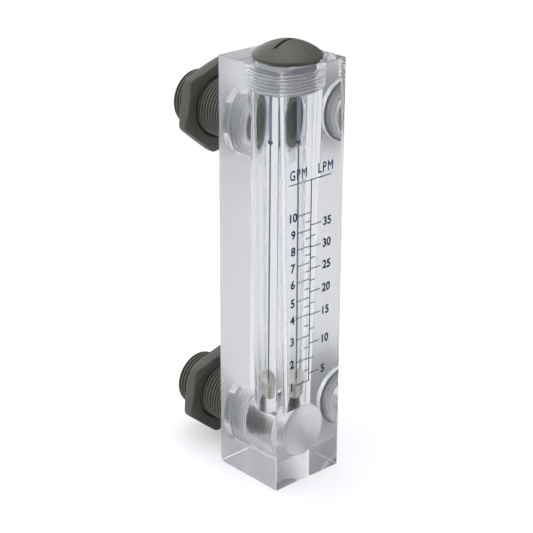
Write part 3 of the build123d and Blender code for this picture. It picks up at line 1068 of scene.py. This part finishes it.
class FLOWMETER_OT_scale(bpy.types.Operator):
    """Prints the flow scale on the front face"""
    bl_idname = "flowmeter.scale"
    bl_label = "Printed Scale"

    def execute(self, context):
        meter = context.scene.flow_meter
        scale = meter.scale
        half, overlap = scale.line / 2, scale.spine / 2 - 0.01 * MM
        boxes = [(-scale.spine / 2, scale.spine / 2, scale.gallons[0] - half, scale.top),
                 (*UNDERLINE, scale.top - half, scale.top + half)]
        for step, z in enumerate(with_halves(scale.gallons)):
            reach = scale.left_short if step % 2 else scale.left_long
            boxes.append((-reach, -overlap, z - half, z + half))
        for step, z in enumerate(with_halves(scale.litres)):
            reach = scale.right_short if step % 2 else scale.right_long
            boxes.append((overlap, reach, z - half, z + half))
        marks = new_piece("scale_marks", *bars(boxes, scale))
        ink = ink_finish(meter.finish)
        finish_piece(marks, "meter", [], [ink], sharp_above=30)
        prints = [letters(str(n + 1), scale.digit, LEFT_NUMBERS, z - LEFT_DROP, scale, scale.bold, LEFT_WIDE)
                  for n, z in enumerate(scale.gallons)]
        prints += [letters(str(5 * n + 5), scale.digit, RIGHT_NUMBERS if n else RIGHT_FIRST, z - RIGHT_DROP,
                           scale, scale.bold, RIGHT_WIDE) for n, z in enumerate(scale.litres)]
        prints += [letters(word, scale.word, middle, WORD_HEIGHT, scale, scale.word_bold, WORD_WIDE,
                           WORD_SPACING) for word, middle in WORDS.items()]
        numbers = join_prints("scale_numbers", prints)
        finish_piece(numbers, "meter", [], [ink], sharp_above=30)
        return {"FINISHED"}


class FLOWMETER_OT_inner(bpy.types.Operator):
    """Gives the sealing rings, rod, stop and float their finishes"""
    bl_idname = "flowmeter.inner"
    bl_label = "Rings, Rod and Float"

    def execute(self, context):
        finish = context.scene.flow_meter.finish
        seal = seal_finish(finish)
        steel = steel_finish("Drawn steel", finish.steel, 0.24, (2500.0, 2500.0, 40.0), 0.006 * MM)
        turned = steel_finish("Turned steel", finish.float, 0.34, (80.0, 80.0, 9000.0), 0.01 * MM)
        given = {"plug_o_ring": seal, "inlet_o_ring": seal, "outlet_o_ring": seal, "guide_rod": steel,
                 "rod_collar": steel, "stop_sleeve": sleeve_finish(finish),
                 "stop_bumper": bumper_finish(finish), "metering_float": turned}
        for name, material in given.items():
            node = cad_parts[name]
            node.data.materials.clear()
            node.data.materials.append(material)
        return {"FINISHED"}


# Stage

# Where each lamp stands and how wide and high it is, in metres. All face the same place in the block.
LAMPS = {"key": ((-1.0, 0.25, 0.8), (0.7, 0.9)), "top": ((0.1, 0.0, 1.1), (0.9, 0.9)),
         "back": ((0.15, 1.2, 0.35), (1.4, 0.9)), "fill": ((0.7, -1.1, 0.4), (0.7, 0.7))}
LAMP_TARGET = (0, 0, 0.1)
FLOOR_COLUMNS = 96


def floor_finish(stage):
    """Pale floor that keeps its shadows and that the camera sees brighter than it is lit. Away from
    the object it fades to white for the camera."""
    made = Finish("Pale floor", stage.floor, 0.9)
    soft = made.pattern("Mottle", Size=3.0, Grain=20.0, Contrast=0.5)
    made.set("Base Color", made.blend(soft["Mask"], toned(stage.floor, 0.99), stage.floor))
    made.set("Specular IOR Level", 0.1)
    tree = made.tree
    seen = add_node(tree, "LightPath").outputs["Is Camera Ray"]
    glow = add_node(tree, "Emission", {"Strength": calc(tree, "MULTIPLY", seen, stage.glow)})
    lit = add_node(tree, "AddShader", {0: made.shader.outputs[0], 1: glow.outputs[0]})
    away = add_node(tree, "VectorMath", {0: made.place}, operation="LENGTH").outputs["Value"]
    beyond = calc(tree, "SUBTRACT", away, stage.floor_near)
    far = calc(tree, "DIVIDE", beyond, stage.floor_far - stage.floor_near, True)
    white = add_node(tree, "Emission")
    made.surface(mix_shaders(tree, calc(tree, "MULTIPLY", far, seen), lit.outputs[0], white.outputs[0]))
    return made.material


def studio_world(stage):
    """White behind everything for the camera, and a paler backdrop for rays that come out of the clear
    block, of strength (1 - rise) * (1 - near). For all other rays a soft room, of strength
    (1 + up + left) * (1 - front) * (1 - right). Each of these grows with that part of the direction."""
    world = bpy.data.worlds.new("Soft studio")
    world.use_nodes = True
    tree = world.node_tree
    way = add_node(tree, "TexCoord").outputs["Generated"]
    parts = add_node(tree, "SeparateXYZ", {0: way}).outputs

    def toward(axis, sign, amount):
        along = calc(tree, "MAXIMUM", calc(tree, "MULTIPLY", parts[axis], sign), 0.0)
        return calc(tree, "MULTIPLY", along, amount)

    lifted = calc(tree, "ADD", toward("Z", 1.0, stage.lift_up), toward("X", -1.0, stage.lift_left))
    level = calc(tree, "ADD", lifted, 1.0)
    for drop in (toward("Y", -1.0, stage.drop_front), toward("X", 1.0, stage.drop_right)):
        level = calc(tree, "MULTIPLY", level, calc(tree, "SUBTRACT", 1.0, drop))
    rise = calc(tree, "SUBTRACT", 1.0, toward("Z", 1.0, stage.backdrop_rise), True)
    near = calc(tree, "SUBTRACT", 1.0, toward("Y", -1.0, stage.backdrop_near))
    room = tree.nodes["Background"]
    give(tree, room.inputs["Color"], (*stage.sky, 1.0))
    give(tree, room.inputs["Strength"], level)
    ray = add_node(tree, "LightPath").outputs
    shader = room.outputs[0]
    for seen, tint, strength in (("Is Transmission Ray", stage.backdrop, calc(tree, "MULTIPLY", rise, near)),
                                 ("Is Camera Ray", (1.0, 1.0, 1.0), 1.0)):
        plate = add_node(tree, "Background", {"Color": (*tint, 1.0), "Strength": strength})
        shader = mix_shaders(tree, ray[seen], shader, plate.outputs[0])
    give(tree, tree.nodes["World Output"].inputs["Surface"], shader)
    return world


def lamp(name, place, size, power):
    """A soft rectangular lamp."""
    light = bpy.data.lights.new(name, "AREA")
    light.shape, light.size, light.size_y, light.energy = "RECTANGLE", size[0], size[1], power
    holder = bpy.data.objects.new(name, light)
    bpy.context.scene.collection.objects.link(holder)
    holder.location = place
    holder.rotation_euler = (Vector(LAMP_TARGET) - Vector(place)).to_track_quat("-Z", "Y").to_euler()


def photo_camera(stage):
    """A camera at the photograph's angle: forward, right and up from azimuth and elevation, then rolled."""
    az, el, roll = stage.azimuth, stage.elevation, stage.roll
    forward = Vector((-math.sin(az) * math.cos(el), math.cos(az) * math.cos(el), -math.sin(el)))
    right = forward.cross(Vector((0, 0, 1))).normalized()
    up = right.cross(forward)
    side = right * math.cos(roll) - up * math.sin(roll)
    top = up * math.cos(roll) + right * math.sin(roll)
    data = bpy.data.cameras.new("Photo camera")
    data.sensor_width, data.lens = 36.0, stage.lens
    camera = bpy.data.objects.new("Photo camera", data)
    bpy.context.scene.collection.objects.link(camera)
    turned = Matrix((side, top, -forward)).transposed().to_4x4()
    camera.matrix_world = Matrix.Translation(Vector(stage.camera)) @ turned
    return camera


class FLOWMETER_OT_stage(bpy.types.Operator):
    """Sets up the floor, the lamps, the soft room and the camera"""
    bl_idname = "flowmeter.stage"
    bl_label = "Stage"

    def execute(self, context):
        scene = context.scene
        stage = scene.flow_meter.stage
        turn = np.linspace(0, TURN, FLOOR_COLUMNS, endpoint=False)
        rim = np.stack([stage.floor_radius * np.cos(turn), stage.floor_radius * np.sin(turn),
                        0 * turn - stage.floor_gap], -1)
        floor = new_piece("floor", rim, [list(range(FLOOR_COLUMNS))])
        floor.data.materials.append(floor_finish(stage))
        scene.world = studio_world(stage)
        for name, (place, size) in LAMPS.items():
            lamp(name, place, size, getattr(stage, name))
        scene.camera = photo_camera(stage)
        scene.view_settings.view_transform = "Standard"
        return {"FINISHED"}


OPERATORS = (FLOWMETER_OT_block, FLOWMETER_OT_fittings, FLOWMETER_OT_nuts, FLOWMETER_OT_plug,
             FLOWMETER_OT_scale, FLOWMETER_OT_inner, FLOWMETER_OT_stage)


class FLOWMETER_PT_panel(bpy.types.Panel):
    """Lists what the flow meter is made of"""
    bl_idname = "FLOWMETER_PT_panel"
    bl_label = "Flow Meter"
    bl_space_type = "VIEW_3D"
    bl_region_type = "UI"
    bl_category = "Flow Meter"

    def draw(self, context):
        meter = context.scene.flow_meter
        for operator in OPERATORS:
            self.layout.operator(operator.bl_idname, text=operator.bl_label)
        for group in (meter.thread, meter.block, meter.fittings, meter.scale, meter.finish, meter.stage):
            box = self.layout.box()
            for name in group.bl_rna.properties.keys():
                if name not in ("rna_type", "name"):
                    box.prop(group, name)


CLASSES = (FLOWMETER_PG_thread, FLOWMETER_PG_block, FLOWMETER_PG_fittings, FLOWMETER_PG_scale,
           FLOWMETER_PG_finish, FLOWMETER_PG_stage, FLOWMETER_PG_meter, *OPERATORS, FLOWMETER_PT_panel)


def register():
    for cls in CLASSES:
        bpy.utils.register_class(cls)
    bpy.types.Scene.flow_meter = bpy.props.PointerProperty(type=FLOWMETER_PG_meter)


def unregister():
    del bpy.types.Scene.flow_meter
    for cls in reversed(CLASSES):
        bpy.utils.unregister_class(cls)


def main():
    """Builds the whole flow meter."""
    register()
    bpy.ops.flowmeter.block()
    bpy.ops.flowmeter.fittings()
    bpy.ops.flowmeter.nuts()
    bpy.ops.flowmeter.plug()
    bpy.ops.flowmeter.scale()
    bpy.ops.flowmeter.inner()
    bpy.ops.flowmeter.stage()
    bpy.context.view_layer.update()


if __name__ == "__main__":
    main()
